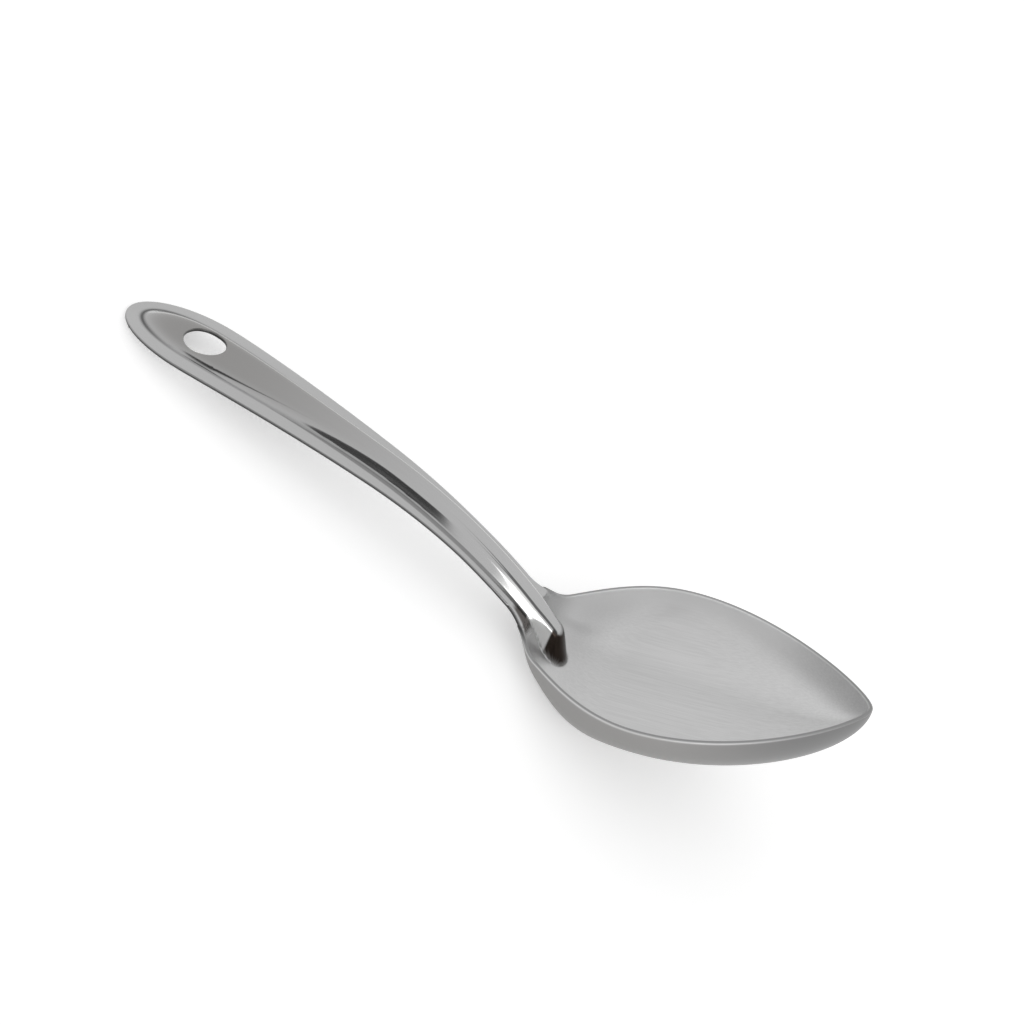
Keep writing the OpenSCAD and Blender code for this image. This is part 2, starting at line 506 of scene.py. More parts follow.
    def polish(self, along: np.ndarray, across: np.ndarray) -> np.ndarray:
        """Mark of the polish on the neck, the rib and its nose.

        Args:
            along: Distances from the neck's bend.
            across: Places across the spoon.

        Returns:
            The mark, 0 out in the bowl.
        """
        on_neck = 1.0 - risen(along, self.POLISH_SPAN)
        on_rib = eased(self.rib_share(along, across) / self.POLISH_RIB)
        return np.maximum(on_neck, on_rib)

    def painted_dark_reflection(self, along: np.ndarray, across: np.ndarray) -> np.ndarray:
        """Mark of the painted dark reflection over the front of the nose and on the near shoulder.

        Args:
            along: Distances from the neck's bend.
            across: Places across the spoon.

        Returns:
            The mark, 0 on the rib's crest and away from the two patches.
        """
        away, _ = self.rib_away(along, across)
        back = self.NOSE_DARK_BACK - self.NOSE_DARK_SLANT * np.abs(across)
        on_front = eased((along - back) / self.NOSE_DARK_FADE)
        on_nose = on_front * risen(away, self.NOSE_DARK_TOP) * (1.0 - risen(away, self.NOSE_DARK_FOOT))
        return np.maximum(on_nose, self.shoulder_dark_reflection(along, across))

    def shoulder_dark_reflection(self, along: np.ndarray, across: np.ndarray) -> np.ndarray:
        """Mark of the same painted dark reflection on the near shoulder.

        Args:
            along: Distances from the neck's bend.
            across: Places across the spoon.

        Returns:
            The mark, 0 on the far side, on the rib and at the edge.
        """
        away, _ = self.rib_away(along, across)
        start, stop = self.SHOULDER_SPAN
        fade_in, fade_out = self.SHOULDER_FADE
        on_shoulder = eased((along - start) / fade_in) * (1.0 - eased((along - stop) / fade_out))
        beside_rib = eased((away - 1.0) / self.SHOULDER_RIB)
        inside_edge = 1.0 - risen(self.rim_ratio(along, across), self.SHOULDER_EDGE)
        return self.SHOULDER_STRENGTH * on_shoulder * beside_rib * inside_edge * (across < 0.0)

    def wall_painted_highlight(self, along: np.ndarray, across: np.ndarray) -> np.ndarray:
        """Mark of the painted highlight that brightens the rib's walls at the neck.

        Args:
            along: Distances from the neck's bend.
            across: Places across the spoon.

        Returns:
            The mark, 0 on the crest and past the foot.
        """
        share = self.rib_share(along, across)
        on_wall = eased(share / self.SHINE_FOOT) * (1.0 - risen(share, self.SHINE_TOP))
        return risen(along, self.SHINE_SPAN) * on_wall

    def raised_end_shade(self, along: np.ndarray, across: np.ndarray) -> np.ndarray:
        """Mark of the duller raised end and its painted shade, which fade out along the rib before the
        neck.
        """
        faded = risen(along, (-self.plateau_stop, self.RAISED_STOP))
        return self.rib_share(along, across) * (1.0 - faded)

    def depth_share(self, along: np.ndarray) -> np.ndarray:
        """Share of the bowl's depth along its middle.

        Args:
            along: Distances from the neck's bend.

        Returns:
            The shares, 0 on the neck and at the tip.
        """
        s = self.sizes
        back = np.clip((along + s.dip_start) / (s.deepest + s.dip_start), 0.0, 1.0)
        front = np.clip((along - s.deepest) / (self.tip - s.deepest), 0.0, 1.0)
        rise_back = (1.0 - (1.0 - back) ** s.back_power) ** s.back_foot
        rise_front = (1.0 - front ** s.tip_power) ** s.wall_foot
        return np.where(along < s.deepest, rise_back, rise_front)

    def rim_ratio(self, along: np.ndarray, across: np.ndarray) -> np.ndarray:
        """Share of the way from the spoon's middle to its outline."""
        return np.minimum(np.abs(across) / np.maximum(self.half_width(along), self.TINY), 1.0)

    def dish(self, along: np.ndarray, ratio: np.ndarray) -> np.ndarray:
        """Share of the bowl's depth at a place, from 0 on the rim to 1 on the deepest floor.

        Args:
            along: Distances from the neck's bend.
            ratio: Shares of the way from the middle to the outline.

        Returns:
            The shares of the depth.
        """
        s = self.sizes
        power = mix(s.shoulder_power, s.wall_power, risen(along, (-s.dip_start, s.widest)))
        up_wall = np.maximum(0.0, ratio - s.floor_flat) / (1.0 - s.floor_flat)
        return self.depth_share(along) * np.maximum(0.0, 1.0 - up_wall ** power) ** s.wall_foot

    def dish_wall_painted_light(self, along: np.ndarray, across: np.ndarray) -> np.ndarray:
        """Mark of the painted light that makes the bowl's walls paler high up.

        Args:
            along: Distances from the neck's bend.
            across: Places across the spoon.

        Returns:
            The mark, 0 on the bowl's floor and at its tip.
        """
        ending = mix(*self.DISH_DEEP, risen(along, self.DISH_BACK))
        deep = self.dish(along, self.rim_ratio(along, across)) / ending
        in_bowl = risen(along, self.DISH_START) * (1.0 - risen(along, self.DISH_FADE))
        return (1.0 - eased(deep)) * in_bowl

    def front_shade(self, along: np.ndarray, across: np.ndarray) -> np.ndarray:
        """Mark of the darker underside towards the tip, the same all across."""
        return risen(along, self.SHADE_SPAN) * np.ones_like(across)

    def marks(self, along: np.ndarray, across: np.ndarray) -> Dict[str, np.ndarray]:
        """Marks of all the finishes at places.

        Args:
            along: Distances from the neck's bend.
            across: Places across the spoon.

        Returns:
            For each mark's name, its share at the places.
        """
        rules = (self.groove_shade, self.polish, self.painted_dark_reflection, self.wall_painted_highlight, self.raised_end_shade,
                 self.dish_wall_painted_light, self.front_shade)
        return {rule.__name__: rule(along, across) for rule in rules}

    def points(self, along: np.ndarray, across: np.ndarray, on_rim: np.ndarray) -> np.ndarray:
        """Points of the upper face as the spoon lies on the floor.

        Args:
            along: Distances from the neck's bend.
            across: Places across the spoon.
            on_rim: True where a point is on the outline.

        Returns:
            Array of points in metres.
        """
        s = self.sizes
        x, z = self.flange_line(along)
        ratio = np.where(on_rim, 1.0, self.rim_ratio(along, across))
        dished_z = z - s.bowl_d * self.dish(along, ratio)
        ridge_x, ridge_z, ridge_slope = self.rib_line(along)
        rise = mix(mix(s.end_rise, s.rib_rise, self.narrowed(along)), s.nose_rise, self.sunk(along))
        share = self.rib_share(along, across)
        x = mix(x, ridge_x + rise * np.sin(ridge_slope), share)
        z = mix(dished_z, ridge_z + rise * np.cos(ridge_slope), share)
        tilt = math.radians(s.rest_tilt)
        lying_x = x * math.cos(tilt) - z * math.sin(tilt) - s.rest_x
        lying_z = x * math.sin(tilt) + z * math.cos(tilt) - s.rest_z
        return np.stack([lying_x, across, lying_z], axis=-1) * MILLIMETRE


class Side(Enum):
    """Which end of a piece is closed by a rounded rim."""

    HANDLE_END = "handle end"
    BOWL_TIP = "bowl tip"


class SheetGrid:
    """Net of quads over one piece's upper face, with its rounded end closed by the rim itself."""

    HALF_COLUMNS = 64
    RINGS = 6
    # How many columns and rows in from an edge the way out over it starts.
    COLUMNS_IN = 2
    ROWS_IN = 3

    def __init__(self, surface: SpoonSurface, side: Side, corner: float, base: float,
                 end_rows: int, rows: np.ndarray) -> None:
        """Lays out the net.

        Args:
            surface: Rule of the upper face.
            side: Which end is rounded.
            corner: Distance from the bend at which the rim turns into the closing row.
            base: Distance from the bend of the first straight row.
            end_rows: Rows between the closing row and the first straight row.
            rows: Distances of the straight rows, from the base to the seam.
        """
        self.surface = surface
        turns = np.linspace(-0.5 * math.pi, 0.5 * math.pi, 2 * self.HALF_COLUMNS + 1)
        self.columns = np.sin(turns)
        self.columns[self.HALF_COLUMNS] = 0.0
        closing = self.closing_patch(side, corner, base, end_rows)
        straight = self.straight_rows(rows[1:])
        self.net = np.concatenate([closing, straight])
        count = 2 * self.HALF_COLUMNS
        self.on_rim = np.zeros(self.net.shape[:2], dtype=bool)
        self.on_rim[:, [0, count]] = True
        self.on_rim[0, :] = True
        self.flip = side is Side.BOWL_TIP

    def straight_rows(self, rows: np.ndarray) -> np.ndarray:
        """Lays rows at constant distance from the bend.

        Args:
            rows: Distances of the rows.

        Returns:
            Places along and across.
        """
        half = self.surface.half_width(rows)
        along = np.repeat(rows[:, None], len(self.columns), axis=1)
        return np.stack([along, half[:, None] * self.columns[None, :]], axis=-1)

    def closing_patch(self, side: Side, corner: float, base: float, end_rows: int) -> np.ndarray:
        """Rows that turn from the rim of the rounded end into the first straight row.

        Args:
            side: Which end is rounded.
            corner: Distance from the bend at which the rim turns into the closing row.
            base: Distance from the bend of the first straight row.
            end_rows: Number of rows before the straight one.

        Returns:
            Places along and across, the closing row first.
        """
        surface = self.surface
        full = surface.rim_length[-1]
        pole = 0.0 if side is Side.HANDLE_END else full
        corner_length = surface.rim_length_at(corner)
        base_length = surface.rim_length_at(base)
        share = 1.0 - np.cos(0.5 * math.pi * np.linspace(0.0, 1.0, end_rows + 1))
        inward = share[:, None, None]
        sideways = 0.5 * (1.0 + self.columns[None, :, None])
        arc = surface.rim_at(mix(pole, corner_length, np.abs(self.columns)))
        arc[:, 1] *= np.sign(self.columns)
        flat = self.straight_rows(np.array([base]))[0]
        flank = surface.rim_at(mix(corner_length, base_length, share))
        right = flank[:, None, :]
        left = right * np.array([1.0, -1.0])
        corners = mix(mix(arc[0], arc[-1], sideways), mix(flat[0], flat[-1], sideways), inward)
        return mix(arc[None], flat[None], inward) + mix(left, right, sideways) - corners

    def mesh_parts(self, hole: Optional["HangingHole"] = None) -> MeshParts:
        """Turns the net into the parts of a mesh.

        Args:
            hole: Hole to leave open, if the piece has one.

        Returns:
            Points in metres, faces, and the marks of each point by name.
        """
        rows, columns = self.net.shape[:2]
        index = np.arange(rows * columns).reshape(rows, columns)
        keep = np.ones((rows - 1, columns - 1), dtype=bool)
        flat = self.net.reshape(-1, 2)
        on_rim = self.on_rim.reshape(-1)
        rings: List[np.ndarray] = []
        loop = np.zeros(0, dtype=int)
        if hole is not None:
            block = hole.block(self.net)
            keep[block[0]:block[1], block[2]:block[3]] = False
            loop = hole.loop(index, block)
            rings = hole.rings(flat[loop], self.RINGS)
        faces = self.quads(index, keep)
        for ring in rings:
            fresh = np.arange(len(flat), len(flat) + len(ring))
            flat = np.concatenate([flat, ring])
            on_rim = np.concatenate([on_rim, np.zeros(len(ring), dtype=bool)])
            faces += self.ring_faces(loop, fresh)
            loop = fresh
        points = self.surface.points(flat[:, 0], flat[:, 1], on_rim)
        seam = np.zeros(len(flat))
        seam[index[-1]] = 1.0
        marks = {"seam": seam, "edge_out": self.ways_out(points, index, loop),
                 **self.surface.marks(flat[:, 0], flat[:, 1])}
        used = sorted({corner for face in faces for corner in face})
        fresh_index = {old: new for new, old in enumerate(used)}
        faces = [tuple(fresh_index[corner] for corner in face) for face in faces]
        return points[used], faces, {name: values[used] for name, values in marks.items()}

    def quads(self, index: np.ndarray, keep: np.ndarray) -> List[Tuple[int, ...]]:
        """Makes the faces of the net.

        Args:
            index: Numbers of the net's points.
            keep: True for each cell that gets a face.

        Returns:
            The numbers of each face's corners, turned so that the face looks up.
        """
        faces = []
        for row, column in zip(*np.nonzero(keep)):
            quad = (index[row, column], index[row + 1, column],
                    index[row + 1, column + 1], index[row, column + 1])
            faces.append(tuple(reversed(quad)) if self.flip else quad)
        return faces

    @staticmethod
    def ring_faces(outer: np.ndarray, inner: np.ndarray) -> List[Tuple[int, ...]]:
        """Faces between two rings of as many points."""
        return list(zip(outer, np.roll(outer, -1), np.roll(inner, -1), inner))

    def ways_out(self, points: np.ndarray, index: np.ndarray, hole_loop: np.ndarray) -> np.ndarray:
        """Finds the ways that lead out of the sheet over its edges.

        Args:
            points: Points in metres.
            index: Numbers of the net's points.
            hole_loop: Numbers of the points round the hole, none where there is no hole.

        Returns:
            A unit vector for each point on an edge, 0 for the others and at the seam.
        """
        out = np.zeros_like(points)
        right = index[::-1, -1]
        left = index[:, 0]
        path = np.concatenate([right, index[0, -2:0:-1], left])
        inner = np.concatenate([index[::-1, -1 - self.COLUMNS_IN], index[self.ROWS_IN, -2:0:-1],
                                index[:, self.COLUMNS_IN]])
        outward = points[path] - points[inner]
        along = np.gradient(points[path], axis=0)
        along /= np.linalg.norm(along, axis=1)[:, None]
        outward -= along * np.sum(outward * along, axis=1)[:, None]
        out[path] = outward / np.linalg.norm(outward, axis=1)[:, None]
        out[index[-1]] = 0.0
        if len(hole_loop):
            centre = points[hole_loop].mean(axis=0)
            inward = centre - points[hole_loop]
            out[hole_loop] = inward / np.linalg.norm(inward, axis=1)[:, None]
        return out


@dataclass(frozen=True)
class HangingHole:
    """Round hole through the raised end of the handle, in places along and across."""

    middle: float
    radius: float
    margin: float = 2.0

    def block(self, net: np.ndarray) -> Block:
        """Finds the part of the net that makes way for the hole.

        Args:
            net: Places along and across of the net's points.

        Returns:
            First and last row, and first and last column.
        """
        reach = self.radius + self.margin
        middle_column = net.shape[1] // 2
        along = net[:, middle_column, 0] - self.middle
        rows = np.nonzero(np.abs(along) < reach)[0]
        middle_row = int(np.argmin(np.abs(along)))
        columns = np.nonzero(np.abs(net[middle_row, :, 1]) < reach)[0]
        return int(rows[0]), int(rows[-1]), int(columns[0]), int(columns[-1])

    @staticmethod
    def loop(index: np.ndarray, block: Block) -> np.ndarray:
        """Walks round the cleared block, against the turn of its faces.

        Args:
            index: Numbers of the net's points.
            block: First and last row, and first and last column.

        Returns:
            Numbers of the points on the way.
        """
        row, row_end, column, column_end = block
        return np.concatenate([
            index[row:row_end, column],
            index[row_end, column:column_end],
            index[row_end:row:-1, column_end],
            index[row, column_end:column:-1],
        ])

    def rings(self, loop: np.ndarray, count: int) -> List[np.ndarray]:
        """Lays rings from the cleared block in to the round hole.

        Args:
            loop: Places round the cleared block.
            count: Number of rings.

        Returns:
            Places of each ring, the last one on the hole's edge.
        """
        centre = np.array([self.middle, 0.0])
        away = loop - centre
        circle = centre + away * (self.radius / np.linalg.norm(away, axis=1))[:, None]
        return [mix(loop, circle, (step + 1) / count) for step in range(count)]


class SheetThickness:
    """Geometry Nodes tree that gives an upper face its sheet: a rolled edge and a lower face."""

    EDGE_STEPS = 6
    # Turn over the edge from which the painted shade of the cut edge starts.
    CUT_FROM = math.radians(15.0)
    # Points this close, in metres, become one, and a seam mark above this level is on the seam.
    MERGE_REACH = 1e-7
    SEAM_LEVEL = 0.9

    def __init__(self) -> None:
        """Builds the tree with its named inputs."""
        self.tree = bpy.data.node_groups.new("sheet_thickness", "GeometryNodeTree")
        self.inputs: Dict[str, str] = {}
        face = self.tree.interface
        face.new_socket("Geometry", in_out="OUTPUT", socket_type="NodeSocketGeometry")
        face.new_socket("Geometry", in_out="INPUT", socket_type="NodeSocketGeometry")
        for name, kind in (("Sheet", "NodeSocketFloat"), ("Edge reach", "NodeSocketFloat"),
                           ("Finish", "NodeSocketMaterial")):
            self.inputs[name] = face.new_socket(name, in_out="INPUT", socket_type=kind).identifier
        self.build(NodeMaker(self.tree))

    def build(self, maker: NodeMaker) -> None:
        """Adds the nodes: store the face, roll its open edges down, and close it below.

        Args:
            maker: Maker of the tree's nodes.
        """
        given = maker.node("NodeGroupInput", {}, {})
        face = given["Geometry"]
        for name, kind in (("place", "GeometryNodeInputPosition"), ("up", "GeometryNodeInputNormal")):
            field = maker.node(kind, {}, {})[0]
            face = maker.node("GeometryNodeStoreNamedAttribute",
                              {"data_type": "FLOAT_VECTOR", "domain": "POINT"},
                              {"Geometry": face, "Name": name, "Value": field})["Geometry"]
        rolled = self.rolled_edges(maker, face, given["Sheet"], given["Edge reach"])
        lower = self.lower_face(maker, face, given["Sheet"])
        closed = self.closed(maker, rolled, lower)
        real = maker.node("GeometryNodeRealizeInstances", {}, {"Geometry": closed})["Geometry"]
        dressed = maker.node("GeometryNodeSetMaterial", {},
                             {"Geometry": real, "Material": given["Finish"]})["Geometry"]
        maker.node("NodeGroupOutput", {}, {"Geometry": dressed})

    def rolled_edges(self, maker: NodeMaker, face: Signal, sheet: Signal, reach: Signal) -> Signal:
        """Rolls the open edges of the upper face down by the sheet.

        Args:
            maker: Maker of the tree's nodes.
            face: Upper face with its places and normals stored.
            sheet: Thickness of the sheet.
            reach: How far the rounded edge stands out.

        Returns:
            The face with its edges, marked for the painted shade of the cut edge and of the rim edge.
        """
        place, up, out = (self.attribute(maker, name, "FLOAT_VECTOR")
                          for name in ("place", "up", "edge_out"))
        polish = self.attribute(maker, "polish", "FLOAT")
        faces_beside = maker.node("GeometryNodeInputMeshEdgeNeighbors", {}, {})["Face Count"]
        ring = maker.node("FunctionNodeCompare", {"data_type": "INT", "operation": "EQUAL"},
                          {"A_INT": faces_beside, "B_INT": 1})["Result"]
        rolled = face
        for step in range(1, self.EDGE_STEPS + 1):
            turn = math.pi * step / self.EDGE_STEPS
            extruded = maker.node("GeometryNodeExtrudeMesh", {"mode": "EDGES"},
                                  {"Mesh": rolled, "Selection": ring, "Offset Scale": 0.0})
            ring = extruded["Top"]
            down = sheet * (0.5 * (1.0 - math.cos(turn)))
            spot = place - up * down + out * (reach * math.sin(turn))
            rolled = maker.node("GeometryNodeSetPosition", {},
                                {"Geometry": extruded["Mesh"], "Selection": ring,
                                 "Position": spot})["Geometry"]
            # Painted shade marks: the cut edge where the sheet is polished, and the rolled rim edge.
            cut_shade = polish * max(0.0, math.sin(turn - self.CUT_FROM))
            for name, value in (("cut_edge_shade", cut_shade), ("rim_edge_shade", math.sin(turn))):
                rolled = self.marked(maker, rolled, name, value, {"Selection": ring})
        return self.marked(maker, rolled, "front_shade", 0.0, {})

    def lower_face(self, maker: NodeMaker, face: Signal, sheet: Signal) -> Signal:
        """Copies the upper face down by the sheet and turns it over.

        Args:
            maker: Maker of the tree's nodes.
            face: Upper face with its places and normals stored.
            sheet: Thickness of the sheet.

        Returns:
            The lower face, marked as the underside for its painted shade, without the painted groove shade,
            dark reflection and wall light of the upper face.
        """
        place, up = (self.attribute(maker, name, "FLOAT_VECTOR") for name in ("place", "up"))
        below = maker.node("GeometryNodeSetPosition", {},
                           {"Geometry": face, "Position": place - up * sheet})["Geometry"]
        for name, value in (("groove_shade", 0.0), ("painted_dark_reflection", 0.0), ("dish_wall_painted_light", 0.0), ("underside", 1.0)):
            below = self.marked(maker, below, name, value, {})
        return maker.node("GeometryNodeFlipFaces", {}, {"Mesh": below})["Mesh"]

    def closed(self, maker: NodeMaker, rolled: Signal, lower: Signal) -> Signal:
        """Closes the sheet and shades it smooth, with crisp edges at the seam.

        Args:
            maker: Maker of the tree's nodes.
            rolled: Upper face with its rolled edges.
            lower: Lower face.

        Returns:
            The closed sheet without the attributes that only this tree needs.
        """
        joined = maker.node("GeometryNodeJoinGeometry", {}, {"Geometry": rolled})
        self.tree.links.new(lower.socket, joined.node.inputs["Geometry"])
        merged = maker.node("GeometryNodeMergeByDistance", {},
                            {"Geometry": joined["Geometry"], "Distance": self.MERGE_REACH})["Geometry"]
        smooth = maker.node("GeometryNodeSetShadeSmooth", {"domain": "FACE"},
                            {"Geometry": merged, "Shade Smooth": True})["Geometry"]
        at_seam = maker.node("FunctionNodeCompare", {"data_type": "FLOAT", "operation": "GREATER_THAN"},
                             {"A": self.attribute(maker, "seam", "FLOAT"), "B": self.SEAM_LEVEL})["Result"]
        crisp = maker.node("GeometryNodeSetShadeSmooth", {"domain": "EDGE"},
                           {"Geometry": smooth, "Selection": at_seam, "Shade Smooth": False})["Geometry"]
        for name in ("place", "up", "edge_out", "seam"):
            crisp = maker.node("GeometryNodeRemoveAttribute", {},
                               {"Geometry": crisp, "Name": name})["Geometry"]
        return crisp

    @staticmethod
    def marked(maker: NodeMaker, sheet: Signal, name: str, value: Any, chosen: Dict[Key, Any]) -> Signal:
        """Sheet with a mark stored on its points, or on the chosen ones."""
        return maker.node("GeometryNodeStoreNamedAttribute", {"data_type": "FLOAT", "domain": "POINT"},
                          {"Geometry": sheet, "Name": name, "Value": value, **chosen})["Geometry"]

    @staticmethod
    def attribute(maker: NodeMaker, name: str, kind: str) -> Signal:
        """Value or vector that is stored on the points under a name."""
        return maker.node("GeometryNodeInputNamedAttribute", {"data_type": kind},
                          {"Name": name})["Attribute"]

    def thicken(self, name: str, parts: MeshParts, sizes: SheetSizes,
                finish: bpy.types.Material) -> bpy.types.Object:
        """Makes a finished piece from an upper face.

        Args:
            name: Name of the piece.
            parts: Points, faces and marks of the upper face.
            sizes: Sizes of the sheet.
            finish: Material of the piece.

        Returns:
            The piece as a plain mesh object at the origin.
        """
        points, faces, marks = parts
        face_mesh = bpy.data.meshes.new(f"{name}_upper_face")
        face_mesh.from_pydata(points.tolist(), [], faces)
        for mark, values in marks.items():
            kind, field = ("FLOAT", "value") if values.ndim == 1 else ("FLOAT_VECTOR", "vector")
            stored = face_mesh.attributes.new(mark, kind, "POINT")
            stored.data.foreach_set(field, values.astype(np.float32).ravel())
        face_mesh.validate()
        piece = bpy.data.objects.new(name, face_mesh)
        bpy.context.collection.objects.link(piece)
        modifier = piece.modifiers.new("sheet thickness", "NODES")
        modifier.node_group = self.tree
        modifier[self.inputs["Sheet"]] = sizes.sheet * MILLIMETRE
        modifier[self.inputs["Edge reach"]] = sizes.edge_reach * MILLIMETRE
        modifier[self.inputs["Finish"]] = finish
        bpy.context.view_layer.update()
        evaluated = piece.evaluated_get(bpy.context.evaluated_depsgraph_get())
        finished = bpy.data.meshes.new_from_object(evaluated)
        piece.modifiers.remove(modifier)
        piece.data = finished
        finished.name = f"{name}_mesh"
        bpy.data.meshes.remove(face_mesh)
        return piece


@dataclass(frozen=True)
class LocalFinish:
    """A finish that takes over where a mark on the sheet's points says so."""

    mark: str
    colour: Triple
    roughness: float


@dataclass(frozen=True)
class SteelFinish:
    """One finish of the steel: its grey, its gloss, its fine lines and what takes over in places."""

    # Detail and roughness of the noise behind the fine lines and behind the smudges, and its middle value.
    LINE_NOISE = (3.0, 0.6)
    SMUDGE_NOISE = (2.0, 0.5)
    NOISE_MIDDLE = 0.5
    # Smudges for each fine line.
    SMUDGE_SHARE = 0.02

    name: str
    grey: float
    roughness: float
    line_grey: float
    line_roughness: float
    line_depth_mm: float
    lines_per_mm: float
    line_stretch: float
    smudge_grey: float
    smudge_roughness: float
    turn_deg: float
    places: Tuple[LocalFinish, ...]

    def material(self) -> bpy.types.Material:
        """Makes the finish as a material.

        Returns:
            The material, which reads Object coordinates and the marks on the sheet's points.
        """
        made = bpy.data.materials.new(self.name)
        made.use_nodes = True
        made.node_tree.nodes.clear()
        maker = NodeMaker(made.node_tree)
        place = maker.node("ShaderNodeTexCoord", {}, {})["Object"]
        per_metre = self.lines_per_mm / MILLIMETRE
        turned = maker.node("ShaderNodeMapping", {"vector_type": "TEXTURE"},
                            {"Vector": place, "Rotation": (0.0, math.radians(self.turn_deg), 0.0),
                             "Scale": (self.line_stretch, 1.0, 1.0)})["Vector"]
        lines = self.noise(turned, per_metre, self.LINE_NOISE)
        grain = lines - self.NOISE_MIDDLE
        smudge = self.noise(turned, self.SMUDGE_SHARE * per_metre, self.SMUDGE_NOISE) - self.NOISE_MIDDLE
        grey = self.grey + grain * self.line_grey + smudge * self.smudge_grey
        roughness = self.roughness + grain * self.line_roughness + smudge * self.smudge_roughness
        height = lines * (self.line_depth_mm * MILLIMETRE)
        colour = maker.node("ShaderNodeCombineColor", {"mode": "RGB"},
                            {"Red": grey, "Green": grey, "Blue": grey})["Color"]
        for local in self.places:
            share = maker.node("ShaderNodeAttribute", {"attribute_name": local.mark}, {})["Fac"]
            colour = maker.node("ShaderNodeMix", {"data_type": "RGBA"},
                                {"Factor_Float": share, "A_Color": colour,
                                 "B_Color": (*local.colour, 1.0)})["Result_Color"]
            roughness = roughness + share * (local.roughness - roughness)
            height = height * (1.0 - share)
        bump = maker.node("ShaderNodeBump", {},
                          {"Height": height, "Distance": 1.0, "Strength": 1.0})["Normal"]
        shader = maker.node("ShaderNodeBsdfPrincipled", {},
                            {"Base Color": colour, "Metallic": 1.0, "Roughness": roughness,
                             "Normal": bump})["BSDF"]
        maker.node("ShaderNodeOutputMaterial", {}, {"Surface": shader})
        return made

    @staticmethod
    def noise(place: Signal, scale: float, kind: Span) -> Signal:
        """Adds a noise.

        Args:
            place: Where it is read.
            scale: Its scale for each metre.
            kind: Its detail and roughness.

        Returns:
            The noise, about 0.5 in the middle.
        """
        return place.maker.node("ShaderNodeTexNoise", {"noise_dimensions": "3D"},
                                {"Vector": place, "Scale": scale, "Detail": kind[0],
                                 "Roughness": kind[1]})["Fac"]


POLISH = LocalFinish("polish", colour=(0.50, 0.50, 0.50), roughness=0.10)
# Painted shade: the underside's darker grey stands in for the shaded floor that it reflects.
UNDERSIDE_SHADE = LocalFinish("underside", colour=(0.31, 0.305, 0.30), roughness=0.40)
# Painted shade: a dark line in the groove at the rib's foot.
GROOVE_SHADE = LocalFinish("groove_shade", colour=(0.09, 0.09, 0.09), roughness=0.30)
# Painted shade: a near-black line on the cut edge of the sheet.
CUT_EDGE_SHADE = LocalFinish("cut_edge_shade", colour=(0.05, 0.05, 0.05), roughness=0.40)
# Painted shade: a darker rolled rim edge.
RIM_EDGE_SHADE = LocalFinish("rim_edge_shade", colour=(0.27, 0.27, 0.27), roughness=0.35)
# Painted light: paler walls high in the bowl.
DISH_WALL_PAINTED_LIGHT = LocalFinish("dish_wall_painted_light", colour=(0.93, 0.93, 0.93), roughness=0.46)
FRONT_SHADE = LocalFinish("front_shade", colour=(0.20, 0.20, 0.20), roughness=0.35)
# Painted highlight: brighter rib walls at the neck.
WALL_PAINTED_HIGHLIGHT = LocalFinish("wall_painted_highlight", colour=(0.95, 0.95, 0.94), roughness=0.12)
# Painted shade: darker grey on the raised end; its slightly higher roughness is a duller finish.
RAISED_END_SHADE = LocalFinish("raised_end_shade", colour=(0.31, 0.305, 0.30), roughness=0.14)
# Painted dark reflection, brownish, on the nose and on the near shoulder.
PAINTED_DARK_REFLECTION = LocalFinish("painted_dark_reflection", colour=(0.045, 0.034, 0.028), roughness=0.14)
SATIN = SteelFinish(
    name="satin_steel", grey=0.655, roughness=0.46,
    line_grey=0.20, line_roughness=0.14, line_depth_mm=0.0003, lines_per_mm=2.2, line_stretch=40.0,
    smudge_grey=0.10, smudge_roughness=0.08, turn_deg=-33.9,
    places=(DISH_WALL_PAINTED_LIGHT, POLISH, WALL_PAINTED_HIGHLIGHT, UNDERSIDE_SHADE, FRONT_SHADE, RIM_EDGE_SHADE, CUT_EDGE_SHADE, PAINTED_DARK_REFLECTION),
)
POLISHED = SteelFinish(
    name="polished_steel", grey=0.50, roughness=0.10,
    line_grey=0.04, line_roughness=0.05, line_depth_mm=0.0001, lines_per_mm=3.0, line_stretch=30.0,
    smudge_grey=0.10, smudge_roughness=0.06, turn_deg=0.0,
    places=(RAISED_END_SHADE, WALL_PAINTED_HIGHLIGHT, GROOVE_SHADE, CUT_EDGE_SHADE),
)


@dataclass
class Bowl:
    """The pointed bowl with its shoulders and the nose of the rib, in millimetres from the neck's bend."""

    surface: SpoonSurface
    node: str = "bowl"
    slot: str = "satin_steel"
    corner: float = 82.0
    base: float = 74.0
    end_rows: int = 40
    fine_step: float = 0.25
    coarse_step: float = 0.75
    coarse_from: float = 12.0

    def build(self, thickness: SheetThickness) -> bpy.types.Object:
        """Builds the bowl's sheet from the tip to the seam.

        Args:
            thickness: Tree that gives the upper face its sheet.

        Returns:
            The finished piece.
        """
        fine = np.arange(-self.surface.sizes.neck_l, self.coarse_from, self.fine_step)
        coarse = np.linspace(self.coarse_from, self.base,
                             int((self.base - self.coarse_from) / self.coarse_step))
        rows = np.concatenate([fine, coarse])[::-1]
        grid = SheetGrid(self.surface, Side.BOWL_TIP, self.corner, self.base, self.end_rows, rows)
        return thickness.thicken(self.node + "_pressing", grid.mesh_parts(), self.surface.sizes,
                                 self.dress())

    @staticmethod
    def dress() -> bpy.types.Material:
        """Satin finish that gives way to polish on the neck and the rib."""
        return SATIN.material()


